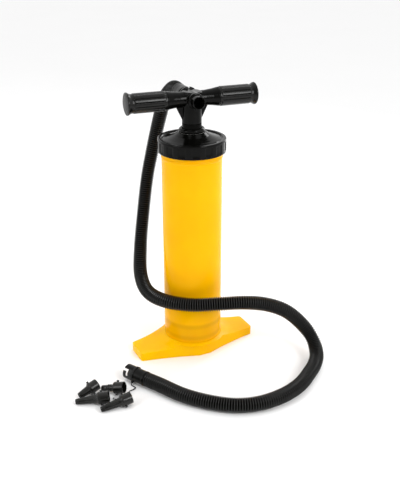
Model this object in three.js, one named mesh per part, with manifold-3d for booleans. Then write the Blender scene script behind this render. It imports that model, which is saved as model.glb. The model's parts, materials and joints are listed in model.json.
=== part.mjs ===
// Double-action hand air pump. A T-handle on a hollow rod drives a valved piston in a tall barrel,
// and a corrugated hose carries the air from the handle's rear port to a bayonet cuff and four loose nozzles.
// Millimetres, +Z up. The origin is the centre of the foot's underside, on the barrel's axis.
// X runs along the foot.
import * as THREE from 'three';
import { mergeVertices } from 'three/addons/utils/BufferGeometryUtils.js';
import Module from 'manifold-3d';

const wasm = await Module();
wasm.setup();

// ---------------------------------------------------------------- driving dimensions
const GAP = 0.3;                 // clearance between pieces that touch
const SLIVER = 0.01;             // faces thinner than this are merged away
const ROUND = 32;                // facets round the barrel and everything coaxial with it
const FINE = 20;                 // facets round small turned pieces

const FOOT_HALF_LENGTH = 109;
const FOOT_END_HALF_WIDTH = 22;
const FOOT_MID_HALF_WIDTH = 49.5;
const FOOT_MID_HALF_FLAT = 11;   // straight part of the long side, beside the barrel
const FOOT_END_HEIGHT = 14.5;
const FOOT_MID_HEIGHT = 24;
const FOOT_WALL = 3;
// Radius and height of the foot's roof, from beyond the ends up to the barrel's seat.
const FOOT_ROOF = [[116, FOOT_END_HEIGHT - 0.3], [92, 15.3], [76, 17], [64, 19.8], [54, FOOT_MID_HEIGHT]];

const BARREL_R = 50;
const BARREL_WALL = 2.5;
const BARREL_TOP = 374.8;
const BORE_R = BARREL_R - BARREL_WALL;
const SPIGOT_TOP = 56;           // the foot's plug inside the barrel's lower end

const CAP_R = 56;
const CAP_BOTTOM = 359.5;
const CAP_RIM_TOP = 381.8;
const CAP_NECK_TOP = 391.6;
const CAP_NOTCHES = 16;

const ROD_R = 16;
const ROD_BOTTOM = 91;
const ROD_SHOULDER = 405.6;      // the rod steps in here to plug into the handle
const ROD_TOP = 432;
const ROD_PLUG_R = 14.6;
const INNER_TUBE_R = 7.5;

const PISTON_BOTTOM = 61;
const PISTON_TOP = 89;
const PISTON_R = 46.8;
const PLATE = 4;                 // thickness of the piston's end plates
const INNER_PORTS_R = 24.2;      // pitch radius of the inlet ports
const OUTER_PORTS_R = 35.5;      // pitch radius of the outlet ports
const PORTS = 4;                 // ports in each ring
const FLAP = 1.2;                // thickness of a valve flap

const HANDLE_Z = 444.8;           // height of the grips' and ports' axes
const HUB_TOP = 457;
const HANDLE_YAW = -5.4;         // degrees: the handle stands slightly turned against the foot
const NECK_R = 12;
const SHOULDER_R = 15;           // where the neck meets the grip
const GRIP_START = 44.3;
const GRIP_RIBS_START = 46.5;
const GRIP_RIBS_END = 98.5;
const GRIP_END = 108.5;
const GRIP_R = 15.6;
const FLANGE_R = 17.9;
const ARM_CORE_R = 9;
const GRIP_RIBS = 14;

const PORT_R = 10.2;             // bayonet spigot, the same on both ports
const PORT_BORE_R = 8.8;
const BOSS_R = 12.6;
const STOP_R = 15.8;             // the rear port's stop flange, which stands up behind the hub
const FRONT_PORT_END = 34;
const REAR_PORT_END = 35;
const LUG_R = 12.3;              // the bayonet lugs' outer radius, on ports and nozzles
const LUG_FROM_END = 5.7;        // a lug's centre to the end of its spigot
const PORT_LUG_ROLL = 65;        // degrees from the horizontal
const NOZZLE_LUG_FROM_END = 12.5;
const NOZZLE_LUG_ROLL = 45;      // a nozzle lies with one lug up and back, the other down and forward

const CUFF_R = 12.4;
const CUFF_BORE_R = 10.6;
const CUFF_LENGTH = 40;
const SLOT_TURN = -45;           // degrees from a slot's entry to the end of its bend
const FREE_CUFF_ROLL = 45;       // degrees, of the free cuff's slots about its axis
const REAR_CUFF_START = 22;      // distance of the pump-end cuff's mouth from the barrel's axis

const HOSE_R = 12;
const HOSE_SIDES = 10;
const LANYARD_R = 0.8;
const BAND_ROLL = -45;           // degrees, of the band's eye about the free cuff's axis

// The hose's centreline, from the pump-end cuff down beside the barrel, across its front and round the floor.
const HOSE_ROUTE = [
  [5.9, 62, 444.8], [7.6, 80, 445.4], [8.5, 98, 439.2], [5, 114, 423.4], [0, 123, 397], [-6, 132, 360],
  [-15, 135, 320], [-26, 131, 281], [-44, 113, 216], [-62, 86, 163], [-77, 50, 128], [-80, 11, 114],
  [-65, -28, 111], [-32, -60, 111], [10, -83, 114], [52, -97, 113], [90, -104, 104], [125, -110, 86],
  [151, -117, 61], [165, -128, 40], [167, -143, 25], [160, -160, 15.5], [144, -178, 12.2], [122, -196, 12.2],
  [88, -219, 12.2], [48, -233, 12.2], [4, -235, 12.2], [-34, -222, 12.2], [-67, -196, 12.2],
  [-95, -162, 12.2], [-118, -116.5, 12.2], [-130, -94.5, 12.2],
];
const HOSE_SPLIT = 6;            // the route's point where the upper and lower lengths of hose meet
const HOSE_STEPS = { upper: 10, lower: 38 };
const CUFF_TAIL = [-130.3, -94.0, 12.6];
const CUFF_MOUTH = [-149.8, -59.1, 13.9];

// The thin lanyard, from the band on the free cuff to a knot among the nozzles.
const LANYARD_ROUTE = [
  [-151.4, -80.6, 2.2], [-152.6, -84.5, 1.2], [-150.6, -89, 0.9], [-149.4, -93.2, 0.9], [-153.5, -96.6, 0.9],
  [-159, -97.8, 0.9], [-165, -100.5, 0.9], [-170, -106, 0.9], [-177.5, -110.8, 0.9], [-186, -111.4, 0.9],
  [-191.6, -108.9, 0.9],
];

const KNOT_R = 1.7;
const KNOT_AT = [-192.8, -107.3, 1.9];

// Each nozzle lies on its tip and its shoulder. tip and end say where its two ends are on the floor.
const NOZZLES = [
  { name: 'short_cone', tip: [-241.5, -81.5], end: [-208, -74], tipR: 5, rootR: 7, socket: 15 },
  { name: 'straight', tip: [-201, -77], end: [-172.2, -102.9], tipR: 5, rootR: 5.6, socket: 17 },
  { name: 'long_taper', tip: [-251.5, -93.5], end: [-202.5, -114.5], tipR: 4.4, rootR: 7.2, socket: 17 },
  { name: 'slotted', tip: [-222.5, -131.5], end: [-171.5, -131.5], tipR: 4.4, rootR: 7.2, socket: 17 },
];
const NOZZLE_R = 9.8;
const NOZZLE_BORE_R = 7.9;
const NOZZLE_FACETS = 16;

// ---------------------------------------------------------------- materials
const finish = (color, roughness, metalness = 0) =>
  new THREE.MeshStandardMaterial({ color, roughness, metalness });
const BLACK = () => finish(0x141414, 0.38);
const BLACK_SOFT = () => finish(0x1a1a19, 0.6);
const RUBBER = () => finish(0x202020, 0.85);
const YELLOW = () => finish(0xf8b80c, 0.35);
const CLEAR_YELLOW = () => finish(0xfdc614, 0.22);
const GREY = () => finish(0xb9bab6, 0.5);
const STEEL = () => finish(0xa8abad, 0.3, 0.9);

// ---------------------------------------------------------------- solids
const group = new THREE.Group();
const UP = new THREE.Vector3(0, 0, 1);

/** Turns a closed BufferGeometry into a solid, with its faces pointing out. */
function solid(geometry) {
  const bare = geometry.index ? geometry.toNonIndexed() : geometry.clone();
  bare.deleteAttribute('normal');
  bare.deleteAttribute('uv');
  const merged = mergeVertices(bare, 1e-3);
  const p = merged.attributes.position.array;
  const index = merged.index.array;
  const faces = [];
  let volume = 0;
  for (let i = 0; i < index.length; i += 3) {
    const [a, b, c] = [index[i], index[i + 1], index[i + 2]];
    if (a === b || b === c || a === c) continue;
    faces.push(a, b, c);
    const [u, v, w] = [a, b, c].map((k) => new THREE.Vector3(p[3 * k], p[3 * k + 1], p[3 * k + 2]));
    volume += u.dot(v.cross(w));
  }
  if (volume < 0) faces.reverse();
  const mesh = new wasm.Mesh({
    numProp: 3,
    vertProperties: new Float32Array(p),
    triVerts: new Uint32Array(faces),
  });
  return new wasm.Manifold(mesh);
}

/** Gives a solid back as a BufferGeometry, without the slivers that joins leave. */
function geometryOf(manifold) {
  const mesh = manifold.asOriginal().simplify(SLIVER).getMesh();
  const geometry = new THREE.BufferGeometry();
  geometry.setAttribute('position', new THREE.BufferAttribute(new Float32Array(mesh.vertProperties), 3));
  geometry.setIndex(new THREE.BufferAttribute(new Uint32Array(mesh.triVerts), 1));
  geometry.computeVertexNormals();
  return geometry;
}

/** Adds a named piece to its group. */
function piece(name, manifold, material, parent = group) {
  const mesh = new THREE.Mesh(geometryOf(manifold), material);
  mesh.name = name;
  parent.add(mesh);
  return mesh;
}

const union = (first, ...rest) => rest.reduce((a, b) => a.add(b), first);
const cut = (first, ...rest) => rest.reduce((a, b) => a.subtract(b), first);

/** A turned solid about Z. Its [radius, height] profile closes on itself unless both ends are on the axis. */
function turned(profile, facets = ROUND) {
  const points = profile.map(([r, z]) => new THREE.Vector2(r, z));
  const onAxis = profile[0][0] === 0 && profile[profile.length - 1][0] === 0;
  if (!onAxis) points.push(points[0].clone());
  return solid(new THREE.LatheGeometry(points, facets).rotateX(Math.PI / 2));
}

/** A plain disc or rod from z0 to z1. */
const disc = (r, z0, z1, facets = ROUND) => turned([[0, z0], [r, z0], [r, z1], [0, z1]], facets);

/** A ring or tube from z0 to z1. */
const ring = (r0, r1, z0, z1, facets = ROUND) => turned([[r0, z0], [r1, z0], [r1, z1], [r0, z1]], facets);

/** A box between two corners. */
function block([x0, y0, z0], [x1, y1, z1]) {
  const box = new THREE.BoxGeometry(x1 - x0, y1 - y0, z1 - z0);
  return solid(box.translate((x0 + x1) / 2, (y0 + y1) / 2, (z0 + z1) / 2));
}

/** A flat outline in X and Y raised from z0 to z1. */
function raised(shape, z0, z1, curveSegments = 4) {
  const geometry = new THREE.ExtrudeGeometry(shape, { depth: z1 - z0, bevelEnabled: false, curveSegments });
  return solid(geometry.translate(0, 0, z0));
}

/** A side profile in X and Z, as [x, z] points, thick enough to span y0 to y1. */
function profiled(points, y0, y1) {
  const shape = new THREE.Shape(points.map(([x, z]) => new THREE.Vector2(x, z)));
  const geometry = new THREE.ExtrudeGeometry(shape, { depth: y1 - y0, bevelEnabled: false });
  return solid(geometry.rotateX(Math.PI / 2).translate(0, y1, 0));
}

/** A copy of a solid, turned by an angle in degrees about Z and then moved. */
function placed(manifold, degrees, move = [0, 0, 0]) {
  return manifold.rotate([0, 0, degrees]).translate(move);
}

/** Copies of a solid at equal steps about Z, joined. */
function around(manifold, count, first = 0) {
  const copies = Array.from({ length: count }, (_, i) => placed(manifold, first + (360 * i) / count));
  return union(...copies);
}

/** Puts a mesh made along +Z with its origin at one point, its axis towards another and its X level. */
function aim(mesh, from, to) {
  const start = new THREE.Vector3(...from);
  const z = new THREE.Vector3(...to).sub(start).normalize();
  const x = new THREE.Vector3().crossVectors(UP, z).normalize();
  const y = new THREE.Vector3().crossVectors(z, x);
  mesh.position.copy(start);
  mesh.quaternion.setFromRotationMatrix(new THREE.Matrix4().makeBasis(x, y, z));
  return mesh;
}

// ---------------------------------------------------------------- foot and barrel
/** The foot's plan: narrow square ends and a wide waist at the barrel, joined by slightly hollow sides. */
function footPlan(inset) {
  const end = FOOT_HALF_LENGTH - inset;
  const half = FOOT_END_HALF_WIDTH - inset;
  const mid = FOOT_MID_HALF_WIDTH - inset;
  const flat = FOOT_MID_HALF_FLAT;
  const corner = 4;
  const bendX = 52;
  const bendY = 33.5 - inset;
  const shape = new THREE.Shape();
  shape.moveTo(-end, -half + corner);
  shape.quadraticCurveTo(-end, -half, -end + corner, -half - 1);
  shape.quadraticCurveTo(-bendX, -bendY, -flat, -mid);
  shape.lineTo(flat, -mid);
  shape.quadraticCurveTo(bendX, -bendY, end - corner, -half - 1);
  shape.quadraticCurveTo(end, -half, end, -half + corner);
  shape.lineTo(end, half - corner);
  shape.quadraticCurveTo(end, half, end - corner, half + 1);
  shape.quadraticCurveTo(bendX, bendY, flat, mid);
  shape.lineTo(-flat, mid);
  shape.quadraticCurveTo(-bendX, bendY, -end + corner, half + 1);
  shape.quadraticCurveTo(-end, half, -end, half - corner);
  return shape;
}

/** The foot's body: the plan raised, under a roof that sweeps up to the barrel from all round. */
function footBody(inset, drop) {
  const slope = FOOT_ROOF.map(([r, z]) => [r, z - drop]);
  const roof = turned([[0, -1], [FOOT_ROOF[0][0], -1], ...slope, [0, FOOT_MID_HEIGHT - drop]]);
  return raised(footPlan(inset), drop ? -1 : 0, FOOT_MID_HEIGHT + 1).intersect(roof);
}

function foot() {
  const outer = union(footBody(0, 0), disc(BORE_R - GAP, FOOT_MID_HEIGHT - 1, SPIGOT_TOP));
  const groove = ring(45.3, BORE_R + 1, 48.6, 52.4);
  const ledge = turned([[BORE_R - 1.2, 34], [BORE_R + 1, 33], [BORE_R + 1, 37], [BORE_R - 1.2, 36]]);
  const hollow = union(footBody(FOOT_WALL, FOOT_WALL), disc(42.5, 0, SPIGOT_TOP - FOOT_WALL));
  const reach = FOOT_HALF_LENGTH - 1;
  const within = union(footBody(0.5, 0), disc(44, FOOT_MID_HEIGHT - 1, SPIGOT_TOP - 1));
  const spine = block([-reach, -2, 0], [reach, 2, 22]);
  const crossRibs = [-78, 78].map((x) => block([x - 1.5, -36, 0], [x + 1.5, 36, 19]));
  const middleRib = block([-1.5, -48, 0], [1.5, 48, 22]);
  const post = disc(9, 0, SPIGOT_TOP - 1, FINE);
  const ribs = union(spine, middleRib, post, ...crossRibs).intersect(within);
  return union(cut(outer, groove, ledge, hollow), ribs);
}
piece('base_foot', foot(), YELLOW());
piece('base_seal_ring', ring(45.6, BORE_R - 0.2, 48.9, 52.1), RUBBER());

function barrel() {
  const [r0, r1] = [BORE_R, BARREL_R];
  const profile = [
    [r0, FOOT_MID_HEIGHT + GAP], [r1, FOOT_MID_HEIGHT + GAP], [r1, 348.8], [r1 + 0.9, 350.2],
    [r1 + 0.9, 352.6], [r1, 354],
  ];
  const threads = [363, 369.5];
  for (const z of threads) {
    profile.push([r1, z - 1.4], [r1 + 1.6, z - 0.4], [r1 + 1.6, z + 0.4], [r1, z + 1.4]);
  }
  profile.push([r1, BARREL_TOP], [r0, BARREL_TOP]);
  return turned(profile);
}
piece('barrel', barrel(), CLEAR_YELLOW());

// ---------------------------------------------------------------- cap and rod guide
function cap() {
  const body = turned([
    [52.4, CAP_BOTTOM], [55, CAP_BOTTOM], [CAP_R, CAP_BOTTOM + 1], [CAP_R, CAP_RIM_TOP - 2],
    [CAP_R - 1.6, CAP_RIM_TOP], [51.3, CAP_RIM_TOP], [50, CAP_RIM_TOP - 1.6],
    [48.6, CAP_RIM_TOP - 1.6], [40, 382.8], [30, 386.6], [22.8, CAP_NECK_TOP],
    [20.6, CAP_NECK_TOP], [20.6, 386.2], [31, 381.6], [46, 377.6], [52.4, 377.6],
  ]);
  const notch = block([CAP_R - 1.1, -6, CAP_BOTTOM + 3], [CAP_R + 2, 6, CAP_RIM_TOP - 4.5]);
  return cut(body, around(notch, CAP_NOTCHES, 3));
}
piece('cap', cap(), BLACK());
piece('cap_seal', ring(47.8, 52, BARREL_TOP + GAP, 377.2), RUBBER());

piece('rod_bushing', turned([
  [ROD_R + 0.5, 378], [24, 378], [24, 382], [20.2, 384], [20.2, CAP_NECK_TOP - GAP],
  [18.9, CAP_NECK_TOP - GAP], [18.9, 386.5], [ROD_R + 0.5, 386.5],
], FINE), GREY());
piece('rod_seal', turned([
  [ROD_R + 0.4, 386.8], [18.5, 386.8], [18.5, 391], [17.6, 391], [17.2, 388.8], [ROD_R + 0.4, 391],
], FINE), RUBBER());
piece('rod_collar', turned([
  [ROD_R + 0.6, CAP_NECK_TOP + GAP], [20.4, CAP_NECK_TOP + GAP], [21, 394], [20.6, 396.4], [18.8, 398.4],
  [ROD_R + 0.6, 398],
]), BLACK());

// ---------------------------------------------------------------- piston and its valves
/** A ring of round holes or posts at a pitch radius. */
const portRing = (pitch, r, z0, z1, first) =>
  around(disc(r, z0, z1, 8).translate([pitch, 0, 0]), PORTS, first);
const INLETS = [INNER_PORTS_R, 0];
const OUTLETS = [OUTER_PORTS_R, 45];
const PORT_HOLE_R = 2.8;
const PORT_POST_R = 4.3;

const WEB_BOTTOM = 74;
const WEB_TOP = 76.5;
const CORE_BOTTOM = PISTON_BOTTOM + PLATE + GAP;
const CORE_TOP = PISTON_TOP - PLATE - GAP;

function pistonCore() {
  const shell = ring(40.5, PISTON_R, CORE_BOTTOM, CORE_TOP);
  const web = ring(INNER_TUBE_R + GAP, 41, WEB_BOTTOM, WEB_TOP);
  const inletPosts = portRing(INLETS[0], PORT_POST_R, CORE_BOTTOM, WEB_TOP, INLETS[1]);
  const outletPosts = portRing(OUTLETS[0], PORT_POST_R, WEB_BOTTOM, CORE_TOP, OUTLETS[1]);
  const holes = union(
    portRing(INLETS[0], PORT_HOLE_R, CORE_BOTTOM - 1, WEB_TOP + 1, INLETS[1]),
    portRing(OUTLETS[0], PORT_HOLE_R, WEB_BOTTOM - 1, CORE_TOP + 1, OUTLETS[1]),
    ring(43.6, PISTON_R + 1, 72, 78),
  );
  return cut(union(shell, web, inletPosts, outletPosts), holes);
}

/** An end plate of the piston, with both rings of ports. */
function pistonPlate(z0) {
  const hole = ([pitch, first]) => portRing(pitch, PORT_HOLE_R, z0 - 1, z0 + PLATE + 1, first);
  return cut(disc(PISTON_R, z0, z0 + PLATE), hole(INLETS), hole(OUTLETS));
}

const SNAP_Z = [94, 96.4];
const pistonSocket = cut(
  union(pistonPlate(PISTON_TOP - PLATE), disc(19.6, PISTON_TOP - 1, 103)),
  disc(ROD_R + 0.4, PISTON_TOP + 1.6, 104),
  disc(ROD_PLUG_R, PISTON_TOP - PLATE - 1, PISTON_TOP + 2),
  ring(ROD_R, 18.2, SNAP_Z[0] - GAP, SNAP_Z[1] + GAP),
);
piece('piston_lower_plate', pistonPlate(PISTON_BOTTOM), BLACK_SOFT());
piece('piston_core', pistonCore(), BLACK_SOFT());
piece('piston_upper_plate', pistonSocket, BLACK_SOFT());
piece('piston_seal', ring(43.9, BORE_R - 0.2, 72.3, 77.7), RUBBER());

const flapRing = (pitch, z) => ring(pitch - 3.9, pitch + 3.9, z, z + FLAP, FINE);
const FLAPS = {
  inlet_flap_upper: [INNER_PORTS_R + 0.2, PISTON_TOP + 0.1],
  inlet_flap_lower: [INNER_PORTS_R, PISTON_BOTTOM - 0.1 - FLAP],
  outlet_flap_upper: [OUTER_PORTS_R, WEB_BOTTOM - 0.1 - FLAP],
  outlet_flap_lower: [OUTER_PORTS_R, CORE_BOTTOM + 0.1 - GAP],
};
for (const [name, [pitch, z]] of Object.entries(FLAPS)) piece(name, flapRing(pitch, z), RUBBER());

// ---------------------------------------------------------------- rod and T-handle, along their own axes
const handle = new THREE.Group();
handle.rotation.z = THREE.MathUtils.degToRad(HANDLE_YAW);
group.add(handle);

piece('rod_tube', turned([
  [ROD_R - 2.2, ROD_BOTTOM], [ROD_R, ROD_BOTTOM], [ROD_R, SNAP_Z[0]], [ROD_R - 0.9, SNAP_Z[0]],
  [ROD_R - 0.9, SNAP_Z[1]], [ROD_R, SNAP_Z[1]], [ROD_R, ROD_SHOULDER], [ROD_PLUG_R, ROD_SHOULDER],
  [ROD_PLUG_R, ROD_TOP], [ROD_PLUG_R - 2, ROD_TOP], [ROD_PLUG_R - 2, ROD_SHOULDER - 8],
  [ROD_R - 2.2, ROD_SHOULDER - 12],
], FINE), BLACK(), handle);
piece('rod_snap_ring', ring(ROD_R - 0.6, 17.9, SNAP_Z[0] + GAP, SNAP_Z[1] - GAP, FINE), STEEL(), handle);
piece('inner_air_tube', ring(INNER_TUBE_R - 1.4, INNER_TUBE_R, 70, 437.8, FINE), GREY(), handle);

/** Turns a solid made along +Z so that it lies along +X or -X at the handle's height. */
const along = (manifold, side) => manifold.rotate([0, 90 * side, 0]).translate([0, 0, HANDLE_Z]);

/** Turns a solid made along +Z so that it lies along +Y (rear) or -Y (front) at the handle's height. */
const foreAft = (manifold, side) => manifold.rotate([-90 * side, 0, 0]).translate([0, 0, HANDLE_Z]);

/** Two bayonet lugs on opposite sides of a spigot made along +Z. */
function lugs(z, spigotR, first) {
  const lug = block([spigotR - 1.5, -1.7, z - 1.7], [LUG_R, 1.7, z + 1.7]);
  return around(lug, 2, first);
}

function handleBody() {
  const arm = turned([
    [0, 0], [NECK_R, 0], [NECK_R, 22], [NECK_R + 0.4, 28.5], [NECK_R + 1.2, 33.5], [SHOULDER_R - 0.8, 39],
    [SHOULDER_R, 44], [ARM_CORE_R, 44], [ARM_CORE_R, 104], [0, 104],
  ], FINE);
  const spigot = (length) => union(
    turned([[0, 0], [BOSS_R, 0], [BOSS_R, 20], [BOSS_R - 1, 21], [PORT_R, 21], [PORT_R, length - 0.5],
      [PORT_R - 0.5, length], [0, length]], FINE),
    lugs(length - LUG_FROM_END, PORT_R, PORT_LUG_ROLL),
  );
  const stopNotch = block([-1, -STOP_R - 1, 14], [2.5, -BOSS_R - 0.4, 18]);
  const stop = cut(ring(BOSS_R - 1, STOP_R, 14.6, 17.4, FINE), stopNotch);
  const gusset = [[-28.6, HANDLE_Z - 8], [-15, 409.5], [15, 409.5], [28.6, HANDLE_Z - 8]];
  const body = union(
    along(arm, 1),
    along(arm, -1),
    foreAft(spigot(FRONT_PORT_END), -1),
    foreAft(union(spigot(REAR_PORT_END), stop), 1),
    turned([
      [0, ROD_SHOULDER + 0.4], [ROD_R, ROD_SHOULDER + 0.4], [ROD_R, HUB_TOP - 1.6], [ROD_R - 1.6, HUB_TOP],
      [0, HUB_TOP],
    ], FINE),
    profiled(gusset, -1.9, 1.9),
  );
  const rearBore = foreAft(disc(PORT_BORE_R, 3, REAR_PORT_END + 1, FINE), 1);
  const frontBore = foreAft(disc(PORT_BORE_R, 8.6, FRONT_PORT_END + 1, FINE), -1);
  const rodSocket = disc(ROD_PLUG_R + GAP, ROD_SHOULDER, ROD_TOP + 1, FINE);
  const tubeSeat = disc(INNER_TUBE_R + GAP, ROD_TOP, 439.8, FINE);
  const annulusPassage = disc(2.8, ROD_TOP, 443, 12).translate([0, -11.2, 0]);
  return cut(body, rearBore, frontBore, rodSocket, tubeSeat, annulusPassage);
}
piece('handle_body', handleBody(), BLACK(), handle);

/** The grip's cross-section: broad rounded ribs with narrow grooves between them. */
function ribbedSection() {
  const points = [];
  const pitch = (2 * Math.PI) / GRIP_RIBS;
  const across = [[-0.5, 1.1], [-0.3, 0], [0.3, 0]];
  for (let i = 0; i < GRIP_RIBS; i += 1) {
    for (const [turn, depth] of across) {
      const angle = (i + turn) * pitch;
      points.push(new THREE.Vector2(Math.cos(angle) * (GRIP_R - depth), Math.sin(angle) * (GRIP_R - depth)));
    }
  }
  return new THREE.Shape(points);
}

function grip() {
  const core = turned([
    [0, GRIP_START], [GRIP_R - 0.6, GRIP_START], [GRIP_R - 0.6, GRIP_RIBS_END], [GRIP_R - 0.3, 101.5],
    [FLANGE_R - 1.2, 104.5], [FLANGE_R, 106.5], [FLANGE_R, GRIP_END - 0.8], [FLANGE_R - 0.8, GRIP_END],
    [0, GRIP_END],
  ], FINE);
  const ribs = raised(ribbedSection(), GRIP_RIBS_START, GRIP_RIBS_END);
  const bore = disc(ARM_CORE_R + GAP, GRIP_START - 1, 105, FINE);
  const recess = disc(15.6, 105, GRIP_END + 1, FINE);
  return cut(union(core, ribs), bore, recess);
}
const endCap = () => turned([
  [0, 105.3], [15.3, 105.3], [15.3, 108.6], [14.2, 109.6], [0, 110.6],
], FINE);
for (const [name, side] of [['left', -1], ['right', 1]]) {
  piece(`grip_${name}`, along(grip(), side), BLACK_SOFT(), handle);
  piece(`grip_cap_${name}`, along(endCap(), side), BLACK(), handle);
}

// ---------------------------------------------------------------- hose and its cuffs
/** A bayonet cuff made along +Z. Its mouth is at z = 0, and its tail, which holds the hose, is below. */
function cuff(rollDegrees) {
  const body = turned([
    [CUFF_BORE_R, 0], [CUFF_R, 0], [CUFF_R, -20], [CUFF_R - 0.5, -21.5], [CUFF_R - 0.5, -CUFF_LENGTH],
    [8.5, -CUFF_LENGTH], [8.5, -24], [CUFF_BORE_R, -22],
  ], FINE);
  const entry = block([8, -2.2, -9.5], [14, 2.2, 1]);
  const bend = block([8, -2.2, -9.5], [14, 2.2, -5.1]);
  const slot = union(entry, ...[1, 2, 3].map((third) => placed(bend, (SLOT_TURN * third) / 3)));
  return cut(body, around(slot, 2, rollDegrees));
}
const lockedRoll = -PORT_LUG_ROLL - SLOT_TURN;
const rearCuff = foreAft(cuff(lockedRoll).rotate([180, 0, 0]).translate([0, 0, REAR_CUFF_START]), 1);
piece('hose_cuff_pump_end', rearCuff, BLACK(), handle);

const beyondMouth = CUFF_MOUTH.map((v, i) => 2 * v - CUFF_TAIL[i]);
const freeCuff = aim(piece('hose_cuff_free_end', cuff(FREE_CUFF_ROLL), BLACK()), CUFF_MOUTH, beyondMouth);
const band = union(
  ring(CUFF_R + 0.2, CUFF_R + 0.9, -19.8, -16.2, FINE),
  block([CUFF_R + 0.6, -1.8, -19.5], [CUFF_R + 3.2, 1.8, -16.5]),
);
const cuffBand = piece('lanyard_band', band.rotate([0, 0, BAND_ROLL]), BLACK_SOFT());
cuffBand.position.copy(freeCuff.position);
cuffBand.quaternion.copy(freeCuff.quaternion);

/** A round tube section with its points on the given radius. */
function roundSection(r, sides) {
  const points = Array.from({ length: sides }, (_, i) => {
    const angle = (2 * Math.PI * i) / sides;
    return new THREE.Vector2(r * Math.cos(angle), r * Math.sin(angle));
  });
  return new THREE.Shape(points);
}

/** A cord's solid along a smooth line through its route. */
function cordSolid(route, r, sides, steps) {
  const curve = new THREE.CatmullRomCurve3(route.map((p) => new THREE.Vector3(...p)));
  const settings = { steps, extrudePath: curve, bevelEnabled: false };
  return solid(new THREE.ExtrudeGeometry(roundSection(r, sides), settings));
}

/** The part of a curve between two of its arc-length fractions. */
class Stretch extends THREE.Curve {
  constructor(curve, from, to) {
    super();
    this.curve = curve;
    this.from = from;
    this.to = to;
  }

  getPoint(t, target = new THREE.Vector3()) {
    return this.curve.getPointAt(this.from + (this.to - this.from) * t, target);
  }
}

const ARC_DIVISIONS = 2000;
const hoseCurve = new THREE.CatmullRomCurve3(HOSE_ROUTE.map((p) => new THREE.Vector3(...p)));
hoseCurve.arcLengthDivisions = ARC_DIVISIONS;
const hoseLength = hoseCurve.getLength();
const splitDivision = Math.round((ARC_DIVISIONS * HOSE_SPLIT) / (HOSE_ROUTE.length - 1));
const splitAt = hoseCurve.getLengths()[splitDivision] / hoseLength;
const endGap = GAP / hoseLength;
const stretches = {
  hose_upper: [new Stretch(hoseCurve, endGap, splitAt - endGap / 2), HOSE_STEPS.upper],
  hose_lower: [new Stretch(hoseCurve, splitAt + endGap / 2, 1 - endGap), HOSE_STEPS.lower],
};
for (const [name, [curve, steps]] of Object.entries(stretches)) {
  const section = roundSection(HOSE_R, HOSE_SIDES);
  const geometry = new THREE.ExtrudeGeometry(section, { steps, extrudePath: curve, bevelEnabled: false });
  piece(name, solid(geometry), BLACK_SOFT());
}

// ---------------------------------------------------------------- nozzles and their lanyard
/** A push-in nozzle made along +Z, with its tip at z = 0 and its bayonet end at the far end. */
function nozzle({ tipR, rootR, socket }, length) {
  const root = length - socket;
  const body = turned([
    [tipR - 1.4, 0], [tipR - 0.4, 0], [tipR, 0.8], [rootR, root - 2.5], [NOZZLE_R, root],
    [NOZZLE_R, length - 0.6], [NOZZLE_R - 0.6, length], [NOZZLE_BORE_R, length], [NOZZLE_BORE_R, root + 3],
    [rootR - 1.6, root],
  ], NOZZLE_FACETS);
  return union(body, lugs(length - NOZZLE_LUG_FROM_END, NOZZLE_R, NOZZLE_LUG_ROLL));
}

const SLOT_HALF = 0.7;
const LIFT = 0.2;                // a loose nozzle's clearance above the floor
for (const spec of NOZZLES) {
  const run = Math.hypot(spec.end[0] - spec.tip[0], spec.end[1] - spec.tip[1]);
  const rise = ((NOZZLE_R - spec.tipR) * run) / (run - spec.socket);
  const tip = [...spec.tip, spec.tipR + LIFT];
  const end = [...spec.end, tip[2] + rise];
  const length = new THREE.Vector3(...tip).distanceTo(new THREE.Vector3(...end));
  let body = nozzle(spec, length);
  if (spec.name === 'slotted') {
    body = cut(body, block([-9, -SLOT_HALF, -1], [9, SLOT_HALF, 5]));
  }
  aim(piece(`nozzle_${spec.name}`, body, BLACK_SOFT()), tip, end);
}

piece('lanyard', cordSolid(LANYARD_ROUTE, LANYARD_R, 8, 18), BLACK_SOFT());
piece('lanyard_knot', solid(new THREE.SphereGeometry(KNOT_R, 12, 8)).translate(KNOT_AT), BLACK_SOFT());

export default group;
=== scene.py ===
"""Visual model of a double-action hand air pump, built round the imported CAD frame.

Shapes are made in millimetres in the CAD's own frame and become metres when an object is made.
Z is up, X runs along the foot, and the origin is the centre of the foot's underside.
"""
import json
import math

import bmesh
import bpy
from mathutils import Matrix, Vector


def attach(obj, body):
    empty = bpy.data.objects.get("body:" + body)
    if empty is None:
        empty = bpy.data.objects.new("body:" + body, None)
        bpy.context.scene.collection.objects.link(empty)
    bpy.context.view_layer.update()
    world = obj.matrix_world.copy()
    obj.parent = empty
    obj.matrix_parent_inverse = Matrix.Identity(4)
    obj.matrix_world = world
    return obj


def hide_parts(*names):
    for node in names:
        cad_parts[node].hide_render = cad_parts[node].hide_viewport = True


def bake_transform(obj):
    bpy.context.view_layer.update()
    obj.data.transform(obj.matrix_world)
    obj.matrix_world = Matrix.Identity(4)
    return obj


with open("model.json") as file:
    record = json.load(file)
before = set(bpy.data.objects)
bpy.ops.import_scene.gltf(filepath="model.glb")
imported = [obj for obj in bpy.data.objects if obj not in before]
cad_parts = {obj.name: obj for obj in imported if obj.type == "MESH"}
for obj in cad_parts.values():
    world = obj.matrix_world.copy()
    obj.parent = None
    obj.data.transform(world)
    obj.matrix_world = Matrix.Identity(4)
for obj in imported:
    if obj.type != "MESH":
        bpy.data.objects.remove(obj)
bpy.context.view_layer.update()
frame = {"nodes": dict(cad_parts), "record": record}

MM = 0.001
TURN = 2 * math.pi

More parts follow.
